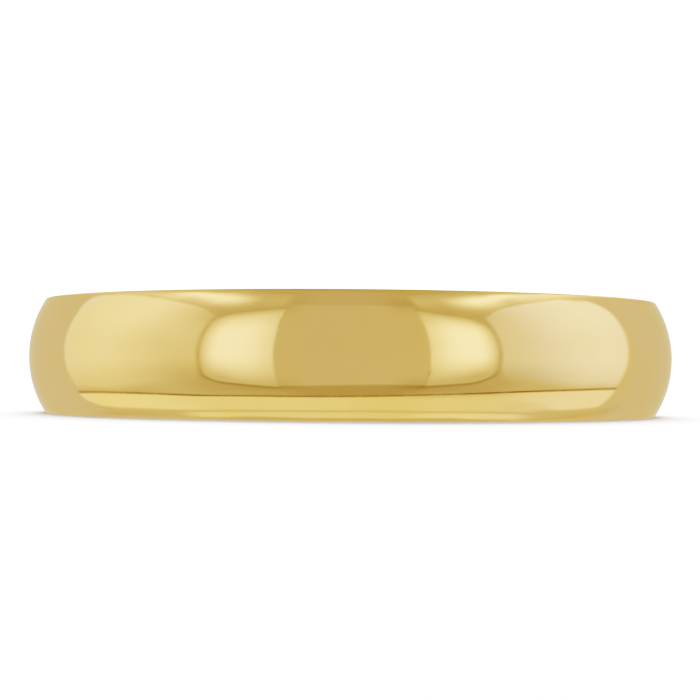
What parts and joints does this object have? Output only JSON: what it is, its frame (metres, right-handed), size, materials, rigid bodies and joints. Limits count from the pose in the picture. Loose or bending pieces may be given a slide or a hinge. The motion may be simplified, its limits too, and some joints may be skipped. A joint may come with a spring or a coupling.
{
  "type": "wedding band",
  "caption": "Plain domed finger ring in polished yellow gold, with a half-round outside, a comfort-fit bore and flat side faces; worn on a finger or stacked with other rings.",
  "frame": {"origin": "centre of the lower side face, on the ring's axis, where the ring rests when it lies flat", "axes": "+Z along the ring's axis, up from the side face that it rests on; X and Y are any two directions across it, because the ring is the same all the way round"},
  "size_m": [0.0228, 0.0228, 0.004],
  "materials": {
    "polished_gold": "polished"
  },
  "bodies": {
    "root": {"band": "polished_gold"}
  },
  "joints": []
}
